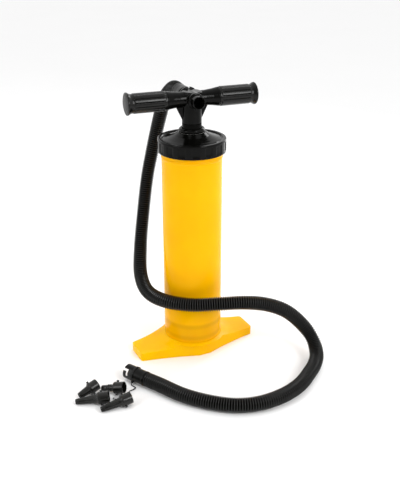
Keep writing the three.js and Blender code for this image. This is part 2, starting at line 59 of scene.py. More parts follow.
# ---------------------------------------------------------------- dimensions, in millimetres
FOOT_HALF_LENGTH = 109
FOOT_END_HALF_WIDTH = 22
FOOT_MID_HALF_WIDTH = 49.5
FOOT_MID_HALF_FLAT = 11
FOOT_MID_HEIGHT = 24
FOOT_WALL = 3
RIB_X = 78
CENTRE_POST_R = 9
FOOT_ROOF = [(116, 14.2, 0), (92, 15.3, 90), (76, 17, 60), (64, 19.8, 30), (54.2, 24, 3)]

BARREL_R = 50
BORE_R = 47.5
BARREL_BOTTOM = 24.3
BARREL_TOP = 374.8
BEAD_BOTTOM = 348.5
BEAD_TOP = 354.2
THREADS = (363, 369.5)
SPIGOT_TOP = 56

CAP_R = 56
CAP_BOTTOM = 359.5
CAP_RIM_TOP = 381.8
CAP_NECK_TOP = 391.6
CAP_CEILING = 377.6
CAP_BORE_R = 52.4
CAP_NOTCHES = 16
CAP_NOTCH_FIRST = 3
CAP_NOTCH_HALF = 6
CAP_NOTCH_DEPTH = 1.1

ROD_R = 16
ROD_BOTTOM = 91
ROD_SHOULDER = 405.6
ROD_TENON_R = 14.6
ROD_TENON_TOP = 432
HANDLE_Z = 444.8
HANDLE_YAW = math.radians(-5.4)
HUB_TOP = 457
NECK_R = 12
SHOULDER_R = 15
ARM_CORE_R = 9
GRIP_START = 44.3
GRIP_RIBS_START = 46.5
GRIP_RIBS_END = 98.5
GRIP_END = 108.5
GRIP_R = 15.6
GRIP_GROOVE = 1.2
GRIP_RIBS = 14
FLANGE_R = 17.9

PORT_R = 10.2
PORT_BORE_R = 8.8
BOSS_R = 12.6
STOP_R = 15.8
STOP_START = 14.6
STOP_END = 17.4
FRONT_PORT_END = 34
REAR_PORT_END = 35
LUG_R = 12.3
LUG_FROM_END = 5.7
PORT_LUG_ROLL = 65

CUFF_R = 12.4
CUFF_BORE_R = 10.6
CUFF_LENGTH = 40
SLOT_TURN = -45
SLOT_DEPTH = 9.5
SLOT_HALF_WIDTH = 2.2
FREE_CUFF_ROLL = 45
BAND_ROLL = -45
REAR_CUFF_START = 22

HOSE_CREST_R = 12.2    # the CAD's hose is a plain tube of radius 12
HOSE_VALLEY_R = 10.2
HOSE_PITCH = 3.9
CREST_BREADTH = 0.7
HOSE_SIDES = 28
HOSE_ROUTE = [
    (5.9, 62, 444.8), (7.6, 80, 445.4), (8.5, 98, 439.2), (5, 114, 423.4), (0, 123, 397), (-6, 132, 360),
    (-15, 135, 320), (-26, 131, 281), (-44, 113, 216), (-62, 86, 163), (-77, 50, 128), (-80, 11, 114),
    (-65, -28, 111), (-32, -60, 111), (10, -83, 114), (52, -97, 113), (90, -104, 104), (125, -110, 86),
    (151, -117, 61), (165, -128, 40), (167, -143, 25), (160, -160, 15.5), (144, -178, 12.2),
    (122, -196, 12.2), (88, -219, 12.2), (48, -233, 12.2), (4, -235, 12.2), (-34, -222, 12.2),
    (-67, -196, 12.2), (-95, -162, 12.2), (-118, -116.5, 12.2), (-130, -94.5, 12.2),
]
HOSE_SPLIT = 6
CUFF_TAIL = (-130.3, -94.0, 12.6)
CUFF_MOUTH = (-149.8, -59.1, 13.9)

LANYARD_R = 0.8
LANYARD_ROUTE = [
    (-151.4, -80.6, 2.2), (-152.6, -84.5, 1.2), (-150.6, -89, 0.9), (-149.4, -93.2, 0.9),
    (-153.5, -96.6, 0.9), (-159, -97.8, 0.9), (-165, -100.5, 0.9), (-170, -106, 0.9),
    (-177.5, -110.8, 0.9), (-186, -111.4, 0.9), (-191.6, -108.9, 0.9),
]
KNOT_R = 1.7
KNOT_AT = (-192.8, -107.3, 1.9)

NOZZLE_R = 9.8
NOZZLE_BORE_R = 7.9
NOZZLE_LUG_FROM_END = 12.5
NOZZLE_LUG_ROLL = 45
LIFT = 0.2
NOZZLES = [
    {"name": "short_cone", "tip": (-241.5, -81.5), "end": (-208, -74),
     "tip_r": 5, "root_r": 7, "socket": 15},
    {"name": "straight", "tip": (-201, -77), "end": (-172.2, -102.9),
     "tip_r": 5, "root_r": 5.6, "socket": 17},
    {"name": "long_taper", "tip": (-251.5, -93.5), "end": (-202.5, -114.5),
     "tip_r": 4.4, "root_r": 7.2, "socket": 17},
    {"name": "slotted", "tip": (-222.5, -131.5), "end": (-171.5, -131.5),
     "tip_r": 4.4, "root_r": 7.2, "socket": 17},
]

# ---------------------------------------------------------------- camera
CAMERA_AT = (-532.9, -1112.8, 734.6)
CAMERA_LOOKS_AT = (11.75, -5.78, 181.5)
CAMERA_LENS_MM = 56.5

camera = bpy.data.objects.new("camera", bpy.data.cameras.new("camera"))
camera.data.lens = CAMERA_LENS_MM
camera.data.sensor_width = 36
camera.data.clip_start = 0.05
camera.data.clip_end = 60
camera.location = Vector(CAMERA_AT) * MM
camera.rotation_euler = (Vector(CAMERA_LOOKS_AT) - Vector(CAMERA_AT)).to_track_quat("-Z", "Y").to_euler()
bpy.context.scene.collection.objects.link(camera)
bpy.context.scene.camera = camera


# ---------------------------------------------------------------- shapes: a part is (vertices in mm, faces)
def smoothstep(x):
    x = min(max(x, 0.0), 1.0)
    return x * x * (3 - 2 * x)


def rounded(profile, radius, closed=True, steps=4):
    """The outline with its corners turned into arcs. A point may carry its own radius as a third number."""
    points = []
    last = len(profile) - 1
    for i, corner in enumerate(profile):
        r = corner[2] if len(corner) > 2 else radius
        here = Vector(corner[:2])
        if r <= 0 or (not closed and i in (0, last)):
            points.append(tuple(here))
            continue
        before = Vector(profile[i - 1][:2]) - here
        after = Vector(profile[(i + 1) % len(profile)][:2]) - here
        half = before.angle(after) / 2
        reach = min(r / max(math.tan(half), 1e-3), 0.48 * before.length, 0.48 * after.length)
        start = here + before.normalized() * reach
        end = here + after.normalized() * reach
        for k in range(steps + 1):
            u = k / steps
            points.append(tuple((1 - u) ** 2 * start + 2 * u * (1 - u) * here + u * u * end))
    return points


def turned(profile, segments, swell=None):
    """A turned part about Z from a profile of (radius, height). It closes on itself, or ends on the axis.
    swell(angle, radius, height) gives the radius there, for what isn't round."""
    on_axis = profile[0][0] == 0 and profile[-1][0] == 0
    verts, rings = [], []
    for r, z in profile:
        if r == 0:
            rings.append([len(verts)] * segments)
            verts.append((0, 0, z))
            continue
        rings.append(list(range(len(verts), len(verts) + segments)))
        for k in range(segments):
            angle = TURN * k / segments
            at = swell(angle, r, z) if swell else r
            verts.append((at * math.cos(angle), at * math.sin(angle), z))
    pairs = list(zip(rings, rings[1:]))
    if not on_axis:
        pairs.append((rings[-1], rings[0]))
    faces = []
    for low, high in pairs:
        for k in range(segments):
            n = (k + 1) % segments
            loop = [low[k], low[n], high[n], high[k]]
            face = [v for j, v in enumerate(loop) if v not in loop[:j]]
            if len(face) > 2:
                faces.append(face)
    return verts, faces


def prism(outline, low, high, along="Z"):
    """An outline raised from low to high. Along Y, the outline is in X and Z."""
    n = len(outline)
    if along == "Z":
        verts = [(x, y, h) for h in (low, high) for x, y in outline]
    else:
        verts = [(x, h, z) for h in (low, high) for x, z in outline]
    sides = [(k, (k + 1) % n, n + (k + 1) % n, n + k) for k in range(n)]
    return verts, [tuple(reversed(range(n))), tuple(range(n, 2 * n))] + sides


def block(low, high):
    (x0, y0, z0), (x1, y1, z1) = low, high
    return prism([(x0, y0), (x1, y0), (x1, y1), (x0, y1)], z0, z1)


def sector(r0, r1, a0, a1, z0, z1, steps=10):
    """A curved block about Z, between two radii, two angles in degrees and two heights."""
    angles = [math.radians(a0 + (a1 - a0) * k / steps) for k in range(steps + 1)]
    outline = [(r1 * math.cos(a), r1 * math.sin(a)) for a in angles]
    outline += [(r0 * math.cos(a), r0 * math.sin(a)) for a in reversed(angles)]
    return prism(outline, z0, z1)


def moved(part, matrix):
    verts, faces = part
    return [tuple(matrix @ Vector(v)) for v in verts], faces


def gathered(parts):
    """Several parts as one, with nothing joined between them."""
    verts, faces = [], []
    for more_verts, more_faces in parts:
        first = len(verts)
        verts += more_verts
        faces += [tuple(first + v for v in face) for face in more_faces]
    return verts, faces


def spun(part, degrees):
    return moved(part, Matrix.Rotation(math.radians(degrees), 4, "Z"))


# ---------------------------------------------------------------- objects
def link(name, part):
    """A mesh object in metres, with its faces pointing out."""
    verts, faces = part
    mesh = bpy.data.meshes.new(name)
    mesh.from_pydata([Vector(v) * MM for v in verts], [], faces)
    work = bmesh.new()
    work.from_mesh(mesh)
    bmesh.ops.recalc_face_normals(work, faces=work.faces)
    work.to_mesh(mesh)
    work.free()
    obj = bpy.data.objects.new(name, mesh)
    bpy.context.scene.collection.objects.link(obj)
    return obj


def bake(obj, kind, **settings):
    """Adds one modifier and turns its result into the object's mesh."""
    modifier = obj.modifiers.new(kind, kind)
    for key, value in settings.items():
        setattr(modifier, key, value)
    result = bpy.data.meshes.new_from_object(obj.evaluated_get(bpy.context.evaluated_depsgraph_get()))
    obj.modifiers.clear()
    old, obj.data = obj.data, result
    bpy.data.meshes.remove(old)
    return obj


def combine(obj, part, operation):
    """Joins a part to an object, cuts it away or keeps what they share."""
    tool = link("tool", part) if isinstance(part, tuple) else part
    bake(obj, "BOOLEAN", operation=operation, object=tool, solver="EXACT")
    mesh = tool.data
    bpy.data.objects.remove(tool)
    bpy.data.meshes.remove(mesh)
    return obj


def soften(obj, width, angle=30, segments=3):
    """Rounds the edges that are sharper than an angle in degrees."""
    return bake(obj, "BEVEL", width=width * MM, segments=segments, limit_method="ANGLE",
                angle_limit=math.radians(angle), use_clamp_overlap=True, harden_normals=False)


def place(obj, matrix):
    """Moves an object's mesh by a matrix given in millimetres."""
    metres = matrix.copy()
    metres.translation *= MM
    obj.data.transform(metres)
    return obj


def finish_piece(obj, name, material, body, slot, *nodes, sharp=38):
    """Names a piece, shades it, gives it its material, hides the CAD nodes it replaces and ties it to its
    body. The slot is not used.
    """
    obj.name = name
    obj.data.name = name
    obj.data.shade_smooth()
    obj.data.set_sharp_from_angle(angle=math.radians(sharp))
    obj.data.materials.clear()
    obj.data.materials.append(material)
    if nodes:
        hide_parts(*nodes)
    if body:
        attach(obj, body)
    return obj


def aimed(start, end):
    """A placing matrix with its origin at start, its Z towards end and its X level."""
    z = (Vector(end) - Vector(start)).normalized()
    x = Vector((0, 0, 1)).cross(z).normalized()
    y = z.cross(x)
    matrix = Matrix((x, y, z)).transposed().to_4x4()
    matrix.translation = Vector(start)
    return matrix


# ---------------------------------------------------------------- materials
def nodes_of(name):
    material = bpy.data.materials.new(name)
    material.use_nodes = True
    tree = material.node_tree
    tree.nodes.clear()
    return material, tree


class Graph:
    """Short calls for building a node tree."""

    def __init__(self, tree):
        self.tree = tree

    def node(self, kind, inputs=(), **settings):
        made = self.tree.nodes.new(kind)
        for key, value in settings.items():
            setattr(made, key, value)
        for key, value in dict(inputs).items():
            if isinstance(value, bpy.types.NodeSocket):
                self.tree.links.new(value, made.inputs[key])
            else:
                made.inputs[key].default_value = value
        return made

    def noise(self, vector, scale, detail=3.0, roughness=0.55):
        inputs = {"Vector": vector, "Scale": scale, "Detail": detail, "Roughness": roughness}
        return self.node("ShaderNodeTexNoise", inputs).outputs["Fac"]

    def span(self, value, low, high, to_low=0.0, to_high=1.0):
        inputs = {"Value": value, "From Min": low, "From Max": high, "To Min": to_low, "To Max": to_high}
        return self.node("ShaderNodeMapRange", inputs).outputs["Result"]

    def mix(self, factor, a, b):
        made = self.tree.nodes.new("ShaderNodeMix")
        made.data_type = "RGBA"
        for key, value in ((0, factor), (6, a), (7, b)):
            if isinstance(value, bpy.types.NodeSocket):
                self.tree.links.new(value, made.inputs[key])
            else:
                made.inputs[key].default_value = value
        return made.outputs[2]

    def math(self, operation, a, b=0.0):
        return self.node("ShaderNodeMath", {0: a, 1: b}, operation=operation).outputs[0]


def shade(color, factor):
    return tuple(min(c * factor, 1.0) for c in color[:3]) + (1.0,)


GRAIN_MM = 0.5


def plastic(name, color, roughness, grain=0.15, mottle=0.12, wear_and_highlight=0.5, specular=0.25, scratches=0.25):
    """Moulded plastic: a fine grain, a slow drift of tone and gloss, handling scratches, and rubbed edges
    made lighter, which on the hose's crests are a painted highlight.
    """
    material, tree = nodes_of(name)
    g = Graph(tree)
    at = g.node("ShaderNodeTexCoord").outputs["Object"]
    drift = g.noise(at, 28, 2)
    fine = g.noise(at, 1 / (GRAIN_MM * MM), 2)
    stretched = g.node("ShaderNodeMapping", {
        "Vector": at, "Rotation": (0.4, 0.9, 0.3), "Scale": (260, 2600, 900),
    })
    scratch = g.noise(stretched.outputs["Vector"], 1.0, 1)
    line = g.span(scratch, 0.66, 0.72)
    # lighter where the surface is convex: rubbed wear, and on the hose's corrugation crests a painted
    # highlight
    rub = g.span(g.node("ShaderNodeNewGeometry").outputs["Pointiness"], 0.53, 0.62, 0, wear_and_highlight)
    tone = g.mix(g.span(drift, 0.3, 0.7), shade(color, 1 - mottle), shade(color, 1 + mottle))
    worn_and_highlight = g.mix(rub, tone, shade([c + 0.02 for c in color], 2.2))
    rough = g.math("ADD", g.span(drift, 0.3, 0.7, roughness - 0.05, roughness + 0.06),
                   g.math("MULTIPLY", line, 0.12 * scratches))
    height = g.math("ADD", fine, g.math("MULTIPLY", line, -0.6 * scratches))
    bump = g.node("ShaderNodeBump", {"Strength": grain, "Distance": 0.0001, "Height": height})
    shader = g.node("ShaderNodeBsdfPrincipled", {
        "Base Color": worn_and_highlight, "Roughness": rough, "Normal": bump.outputs["Normal"],
        "Specular IOR Level": specular,
    })
    g.node("ShaderNodeOutputMaterial", {"Surface": shader.outputs[0]})
    return material


def milky_plastic(name, pale, deep, roughness, specular, see_through=0.0, bands=()):
    """Translucent plastic: light scatters in it, its tone drifts, and soft darker bands show what lies
    behind it and also paint shadow that falls on it.
    bands are (height, half width, strength), with the first two in millimetres."""
    material, tree = nodes_of(name)
    g = Graph(tree)
    at = g.node("ShaderNodeTexCoord").outputs["Object"]
    split = g.node("ShaderNodeSeparateXYZ", {"Vector": at})
    height = split.outputs["Z"]
    drift = g.noise(at, 14, 2)
    flow = g.node("ShaderNodeMapping", {"Vector": at, "Scale": (60, 60, 6)})
    streak = g.noise(flow.outputs["Vector"], 1.0, 2)
    tone = g.mix(g.span(drift, 0.3, 0.7), pale, deep)
    tone = g.mix(g.span(streak, 0.35, 0.75, 0, 0.25), tone, deep)
    # darkens the tone in each band: parts seen through the wall, and painted shadow where a band is given
    # for it
    for middle, half, strength in bands:
        away = g.math("ABSOLUTE", g.math("SUBTRACT", height, middle * MM))
        amount = g.span(away, half * MM, 0.25 * half * MM, 0, strength)
        tone = g.mix(amount, tone, YELLOW_BAND_AND_SHADOW)
    orange_peel = g.noise(at, 420, 1)
    bump = g.node("ShaderNodeBump", {"Strength": 0.03, "Distance": 0.0002, "Height": orange_peel})
    rough = g.span(drift, 0.3, 0.7, roughness - 0.03, roughness + 0.05)
    shader = g.node("ShaderNodeBsdfPrincipled", {
        "Base Color": tone, "Roughness": rough, "Normal": bump.outputs["Normal"],
        "Specular IOR Level": specular, "Subsurface Weight": 0.3, "Subsurface Radius": (1.0, 0.6, 0.05),
        "Subsurface Scale": 0.004,
    })
    clear = g.node("ShaderNodeBsdfTransparent", {"Color": shade(pale, 1.0)})
    surface = g.node("ShaderNodeMixShader", {0: see_through, 1: shader.outputs[0], 2: clear.outputs[0]})
    g.node("ShaderNodeOutputMaterial", {"Surface": surface.outputs[0]})
    return material


YELLOW_PALE = (0.94, 0.48, 0.0005, 1)
YELLOW_DEEP = (0.9, 0.42, 0.0005, 1)
# the darker tone of the bands: parts seen through the wall, and the painted shadow of the hose
YELLOW_BAND_AND_SHADOW = (0.55, 0.25, 0.0005, 1)
BARREL_BANDS_AND_SHADOW = (
    (34.5, 6.5, 0.4), (45, 16, 0.25), (56.5, 6.5, 0.4),    # the plug's ledge, the plug and its top
    (118, 48, 0.2),                                        # painted shadow of the hose
    (351.4, 2.2, 0.25),                                    # the bead below the cap
)
M_BARREL = milky_plastic("barrel_yellow", YELLOW_PALE, YELLOW_DEEP, 0.16, 0.06, 0.02, BARREL_BANDS_AND_SHADOW)
M_FOOT = milky_plastic("foot_yellow", (0.96, 0.55, 0.0005, 1), (0.9, 0.44, 0.0005, 1), 0.16, 0.07)
M_BLACK = plastic("black_plastic", (0.0016, 0.0016, 0.0013), 0.14, specular=0.1)
M_ROD = plastic("rod_black", (0.0022, 0.0022, 0.0018), 0.16, specular=0.05, scratches=0.6)
M_GRIP = plastic("grip_black", (0.003, 0.003, 0.0025), 0.24, grain=0.3, wear_and_highlight=0.6, specular=0.22)
M_GRIP_CAP = plastic("grip_cap_black", (0.03, 0.03, 0.03), 0.5, grain=0.35, specular=0.4)
M_CUFF = plastic("cuff_black", (0.003, 0.003, 0.0025), 0.26, specular=0.12)
M_NOZZLE = plastic("nozzle_black", (0.006, 0.006, 0.005), 0.24, grain=0.3, specular=0.3)
# its high wear setting lightens every corrugation crest: a painted highlight
M_HOSE = plastic("hose_black", (0.0012, 0.0012, 0.0008), 0.16, grain=0.1, mottle=0.2, wear_and_highlight=0.8, specular=0.2)
M_LANYARD = plastic("lanyard_black", (0.005, 0.005, 0.005), 0.5)
M_RUBBER = plastic("rubber", (0.01, 0.01, 0.01), 0.75, grain=0.5)
M_PISTON = plastic("piston_plastic", (0.03, 0.03, 0.03), 0.5)
M_GREY = plastic("guide_grey", (0.5, 0.5, 0.47), 0.45, wear_and_highlight=0.1)


def spring_steel():
    material, tree = nodes_of("spring_steel")
    g = Graph(tree)
    at = g.node("ShaderNodeTexCoord").outputs["Object"]
    drawn = g.node("ShaderNodeMapping", {"Vector": at, "Scale": (400, 400, 6000)})
    streak = g.noise(drawn.outputs["Vector"], 1.0, 2)
    shader = g.node("ShaderNodeBsdfPrincipled", {
        "Base Color": g.mix(streak, (0.5, 0.5, 0.52, 1), (0.68, 0.68, 0.7, 1)), "Metallic": 1.0,
        "Roughness": g.span(streak, 0.2, 0.8, 0.22, 0.4),
    })
    g.node("ShaderNodeOutputMaterial", {"Surface": shader.outputs[0]})
    return material


HIDDEN_FINISHES = {
    "rubber": M_RUBBER, "piston_plastic": M_PISTON, "guide_grey": M_GREY, "spring_steel": spring_steel(),
}
for row in frame["record"]["subparts"]:
    if row["material_slot"] in HIDDEN_FINISHES:
        node = frame["nodes"][row["node"]]
        node.data.materials.clear()
        node.data.materials.append(HIDDEN_FINISHES[row["material_slot"]])


# ---------------------------------------------------------------- cords
def smooth_line(route, per_stretch=24):
    """Centripetal Catmull-Rom through the route. Returns the points and each route point's index in them."""
    points = [Vector(p) for p in route]
    points = [2 * points[0] - points[1]] + points + [2 * points[-1] - points[-2]]
    line, marks = [], []
    for p0, p1, p2, p3 in zip(points, points[1:], points[2:], points[3:]):
        d0, d1, d2 = [math.sqrt((b - a).length) for a, b in ((p0, p1), (p1, p2), (p2, p3))]
        m1 = ((p1 - p0) / d0 - (p2 - p0) / (d0 + d1) + (p2 - p1) / d1) * d1
        m2 = ((p2 - p1) / d1 - (p3 - p1) / (d1 + d2) + (p3 - p2) / d2) * d1
        marks.append(len(line))
        for k in range(per_stretch):
            t = k / per_stretch
            h = 2 * t ** 3 - 3 * t * t + 1
            line.append(h * p1 + (t ** 3 - 2 * t * t + t) * m1 + (1 - h) * p2 + (t ** 3 - t * t) * m2)
    marks.append(len(line))
    line.append(points[-2])
    return line, marks


def length_of(line):
    return sum((b - a).length for a, b in zip(line, line[1:]))


def stations(line, spacing):
    """Points at equal steps along a line, with their distances from its start."""
    total = length_of(line)
    count = max(2, round(total / spacing))
    found, walked, k = [], 0.0, 0
    for i in range(count + 1):
        want = total * i / count
        while k < len(line) - 2 and walked + (line[k + 1] - line[k]).length < want:
            walked += (line[k + 1] - line[k]).length
            k += 1
        step = line[k + 1] - line[k]
        found.append((line[k] + step * ((want - walked) / step.length), want))
    return found


def tube(points, radii, sides):
    """A closed tube along points, with a radius for each, on frames that don't twist."""
    tangents = []
    for k in range(len(points)):
        a, b = points[max(k - 1, 0)], points[min(k + 1, len(points) - 1)]
        tangents.append((b - a).normalized())
    side = tangents[0].cross(Vector((0, 0, 1)))
    if side.length < 1e-3:
        side = tangents[0].cross(Vector((0, 1, 0)))
    verts, faces = [], []
    for k, (point, tangent) in enumerate(zip(points, tangents)):
        side = (side - tangent * side.dot(tangent)).normalized()
        up = tangent.cross(side)
        for j in range(sides):
            angle = TURN * j / sides
            verts.append(tuple(point + (side * math.cos(angle) + up * math.sin(angle)) * radii[k]))
        if k:
            for j in range(sides):
                n = (j + 1) % sides
                low, high = (k - 1) * sides, k * sides
                faces.append((low + j, low + n, high + n, high + j))
    last = (len(points) - 1) * sides
    faces.append(tuple(reversed(range(sides))))
    faces.append(tuple(range(last, last + sides)))
    return verts, faces


def corrugation(distance):
    """The hose's radius at a distance along it: broad round crests with narrower valleys."""
    wave = 0.5 - 0.5 * math.cos(TURN * distance / HOSE_PITCH)
    return HOSE_VALLEY_R + (HOSE_CREST_R - HOSE_VALLEY_R) * wave ** CREST_BREADTH


hose_line, hose_marks = smooth_line(HOSE_ROUTE)
split_index = hose_marks[HOSE_SPLIT]
upper_line, lower_line = hose_line[:split_index + 1], hose_line[split_index:]
upper_pitches = round(length_of(upper_line) / HOSE_PITCH)
lower_pitches = round(length_of(lower_line) / HOSE_PITCH)
RINGS_PER_PITCH = 8


def hose(name, line, pitches, node):
    """A length of corrugated hose with a whole number of corrugations, so that lengths meet in a valley."""
    found = stations(line, length_of(line) / (pitches * RINGS_PER_PITCH))
    total = length_of(line)
    radii = [corrugation(d / total * pitches * HOSE_PITCH) for _, d in found]
    points = [p for p, _ in found]
    obj = link(name, tube(points, radii, HOSE_SIDES))
    finish_piece(obj, name, M_HOSE, None, "hose_black", node, sharp=80)
    return obj, [tuple(p * MM) for p in points]


hose_upper, upper_path = hose("hose_upper_corrugated", upper_line, upper_pitches, "hose_upper")
hose_lower, lower_path = hose("hose_lower_corrugated", lower_line, lower_pitches, "hose_lower")
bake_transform(hose_upper)
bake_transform(hose_lower)


# ---------------------------------------------------------------- bayonet cuffs
def j_slots(roll):
    """Cutters for the two J slots of a cuff made along +Z with its mouth at z = 0."""
    half_angle = math.degrees(SLOT_HALF_WIDTH / CUFF_R)
    low, high = sorted((0, SLOT_TURN))
    bend_top = 2 * SLOT_HALF_WIDTH - SLOT_DEPTH
    cutters = []
    for turn in (roll, roll + 180):
        entry = sector(8, 14, turn - half_angle, turn + half_angle, -SLOT_DEPTH, 2)
        bend = sector(8, 14, turn + low - half_angle, turn + high + half_angle, -SLOT_DEPTH, bend_top)
        cutters += [entry, bend]
    return cutters


def cuff(roll):
    body = rounded([
        (CUFF_BORE_R, 0, 0.5), (CUFF_R, 0, 0.7), (CUFF_R, -19.6, 0.4), (CUFF_R - 0.5, -21.2, 0.5),
        (CUFF_R - 0.5, -CUFF_LENGTH + 3.4, 0.4), (CUFF_R - 0.1, -CUFF_LENGTH + 2.6, 0.4),
        (CUFF_R - 0.1, -CUFF_LENGTH, 0.5), (8.5, -CUFF_LENGTH, 0.3), (8.5, -24, 1), (CUFF_BORE_R, -22, 1),
    ], 0.4)
    obj = link("cuff", turned(body, 72))
    for cutter in j_slots(roll):
        combine(obj, cutter, "DIFFERENCE")
    return soften(obj, 0.35, angle=45, segments=2)


def fore_aft(side):
    """Lays a shape made along +Z along +Y for side 1, or -Y for side -1, at the handle's height."""
    return Matrix.Translation((0, 0, HANDLE_Z)) @ Matrix.Rotation(math.radians(-90 * side), 4, "X")


HANDLE = Matrix.Rotation(HANDLE_YAW, 4, "Z")
rear_cuff = cuff(-PORT_LUG_ROLL - SLOT_TURN)
flip = Matrix.Translation((0, 0, REAR_CUFF_START)) @ Matrix.Rotation(math.pi, 4, "X")
place(rear_cuff, HANDLE @ fore_aft(1) @ flip)
finish_piece(rear_cuff, "cuff_pump_end_moulding", M_CUFF, "handle", "cuff_black", "hose_cuff_pump_end")

FREE_CUFF = aimed(CUFF_MOUTH, 2 * Vector(CUFF_MOUTH) - Vector(CUFF_TAIL))
free_cuff = cuff(FREE_CUFF_ROLL)
place(free_cuff, FREE_CUFF)
finish_piece(free_cuff, "cuff_free_end_moulding", M_CUFF, "root", "cuff_black", "hose_cuff_free_end")

band = link("band", turned(rounded([
    (CUFF_R + 0.1, -19.8), (CUFF_R + 0.9, -19.8), (CUFF_R + 0.9, -16.2), (CUFF_R + 0.1, -16.2)], 0.35), 64))
eye = spun(block((CUFF_R + 0.4, -1.8, -19.5), (CUFF_R + 3.2, 1.8, -16.5)), BAND_ROLL)
combine(band, eye, "UNION")
eye_hole = moved(turned([(0, -3), (0.9, -3), (0.9, 3), (0, 3)], 20), Matrix.Rotation(math.pi / 2, 4, "X"))
eye_at = Matrix.Rotation(math.radians(BAND_ROLL), 4, "Z") @ Matrix.Translation((CUFF_R + 2, 0, -18))
combine(band, moved(eye_hole, eye_at), "DIFFERENCE")
soften(band, 0.3, angle=50, segments=2)
place(band, FREE_CUFF)
finish_piece(band, "lanyard_band_and_eye", M_LANYARD, "root", "lanyard_black", "lanyard_band")

# ---------------------------------------------------------------- nozzles and their lanyard
NOZZLE_SEGMENTS = 64
FLUTES = 10


def flutes(spec, length):
    """The fluted nozzles' taper has lengthwise grooves that fade out at both ends."""
    root = length - spec["socket"]

    def swell(angle, r, z):
        if spec["name"] not in ("long_taper", "slotted") or not 1.5 < z < root - 1.5 or r < 3.4:
            return r
        outer = spec["tip_r"] + (spec["root_r"] - spec["tip_r"]) * z / root
        if r < outer - 0.9:
            return r
        groove = smoothstep((math.cos(FLUTES * angle) - 0.1) / 0.7)
        fade = smoothstep((z - 2) / 3) * smoothstep((root - 2 - z) / 4)
        return r - 0.55 * groove * fade

    return swell


def nozzle(spec, length):
    tip_r, root_r, socket = spec["tip_r"], spec["root_r"], spec["socket"]
    root = length - socket
    taper = [(tip_r + (root_r - tip_r) * t, 0.8 + (root - 3.3) * t, 0) for t in [k / 16 for k in range(17)]]
    if spec["name"] == "straight":
        for z in (root - 7, root - 10.5):
            taper = [p for p in taper if abs(p[1] - z) > 1.4]
            taper += [(root_r - 0.1, z - 1.1, 0), (root_r + 0.5, z - 0.5, 0), (root_r + 0.5, z + 0.5, 0),
                      (root_r, z + 1.1, 0)]
        taper.sort(key=lambda p: p[1])
    profile = [(tip_r - 1.4, 0, 0.2), (tip_r - 0.4, 0, 0.2)] + taper + [
        (NOZZLE_R - 0.6, root - 0.4, 0.8), (NOZZLE_R, root + 0.6, 0.3), (NOZZLE_R, root + 2.2, 0.2),
        (NOZZLE_R - 0.35, root + 2.6, 0.2), (NOZZLE_R - 0.35, length, 0.7), (NOZZLE_BORE_R, length, 0.4),
        (NOZZLE_BORE_R, root + 3, 0.8), (root_r - 1.6, root, 0.8),
    ]
    obj = link("nozzle", turned(rounded(profile, 0.3), NOZZLE_SEGMENTS, flutes(spec, length)))
    lug_z = length - NOZZLE_LUG_FROM_END
    for turn in (NOZZLE_LUG_ROLL, NOZZLE_LUG_ROLL + 180):
        lug = spun(block((NOZZLE_R - 1.5, -1.7, lug_z - 1.7), (LUG_R, 1.7, lug_z + 1.7)), turn)
        combine(obj, soften(link("lug", lug), 0.45), "UNION")
    if spec["name"] == "slotted":
        combine(obj, block((-9, -0.7, -1), (9, 0.7, 5)), "DIFFERENCE")
    return obj


for spec in NOZZLES:
    run = math.dist(spec["tip"], spec["end"])
    rise = (NOZZLE_R - spec["tip_r"]) * run / (run - spec["socket"])
    tip = (*spec["tip"], spec["tip_r"] + LIFT)
    end = (*spec["end"], tip[2] + rise)
    obj = place(nozzle(spec, math.dist(tip, end)), aimed(tip, end))
    name = "nozzle_" + spec["name"]
    finish_piece(obj, name + "_moulding", M_NOZZLE, "root", "nozzle_black", name)

LANYARD_STEP = 1.0
lanyard_line, _ = smooth_line(LANYARD_ROUTE)
lanyard_points = [p for p, _ in stations(lanyard_line, LANYARD_STEP)]
lanyard = link("lanyard", tube(lanyard_points, [LANYARD_R] * len(lanyard_points), 14))
finish_piece(lanyard, "lanyard_cord", M_LANYARD, "root", "lanyard_black", "lanyard", sharp=80)


def knot_loop(steps=96):
    """The closed line of a trefoil knot that fits in the knot's ball."""
    points = []
    reach = KNOT_R * 0.66 / 3
    for k in range(steps):
        t = TURN * k / steps
        points.append(Vector((
            reach * (math.sin(t) + 2 * math.sin(2 * t)),
            reach * (math.cos(t) - 2 * math.cos(2 * t)),
            -reach * math.sin(3 * t),
        )) + Vector(KNOT_AT))
    return points


def closed_tube(points, r, sides):
    verts, faces = tube(points + points[:1], [r] * (len(points) + 1), sides)
    faces = faces[:-2]
    last = len(points) * sides
    best = min(range(sides), key=lambda s: (Vector(verts[s]) - Vector(verts[last])).length)
    swap = {last + j: (j + best) % sides for j in range(sides)}
    return verts[:last], [tuple(swap.get(v, v) for v in face) for face in faces]


knot = link("knot", closed_tube(knot_loop(), KNOT_R * 0.3, 12))
finish_piece(knot, "lanyard_trefoil_knot", M_LANYARD, "root", "lanyard_black", "lanyard_knot", sharp=80)


# ---------------------------------------------------------------- foot
def quadratic(a, b, c, steps=14):
    return [tuple((1 - t) ** 2 * Vector(a) + 2 * t * (1 - t) * Vector(b) + t * t * Vector(c))
            for t in [k / steps for k in range(1, steps + 1)]]


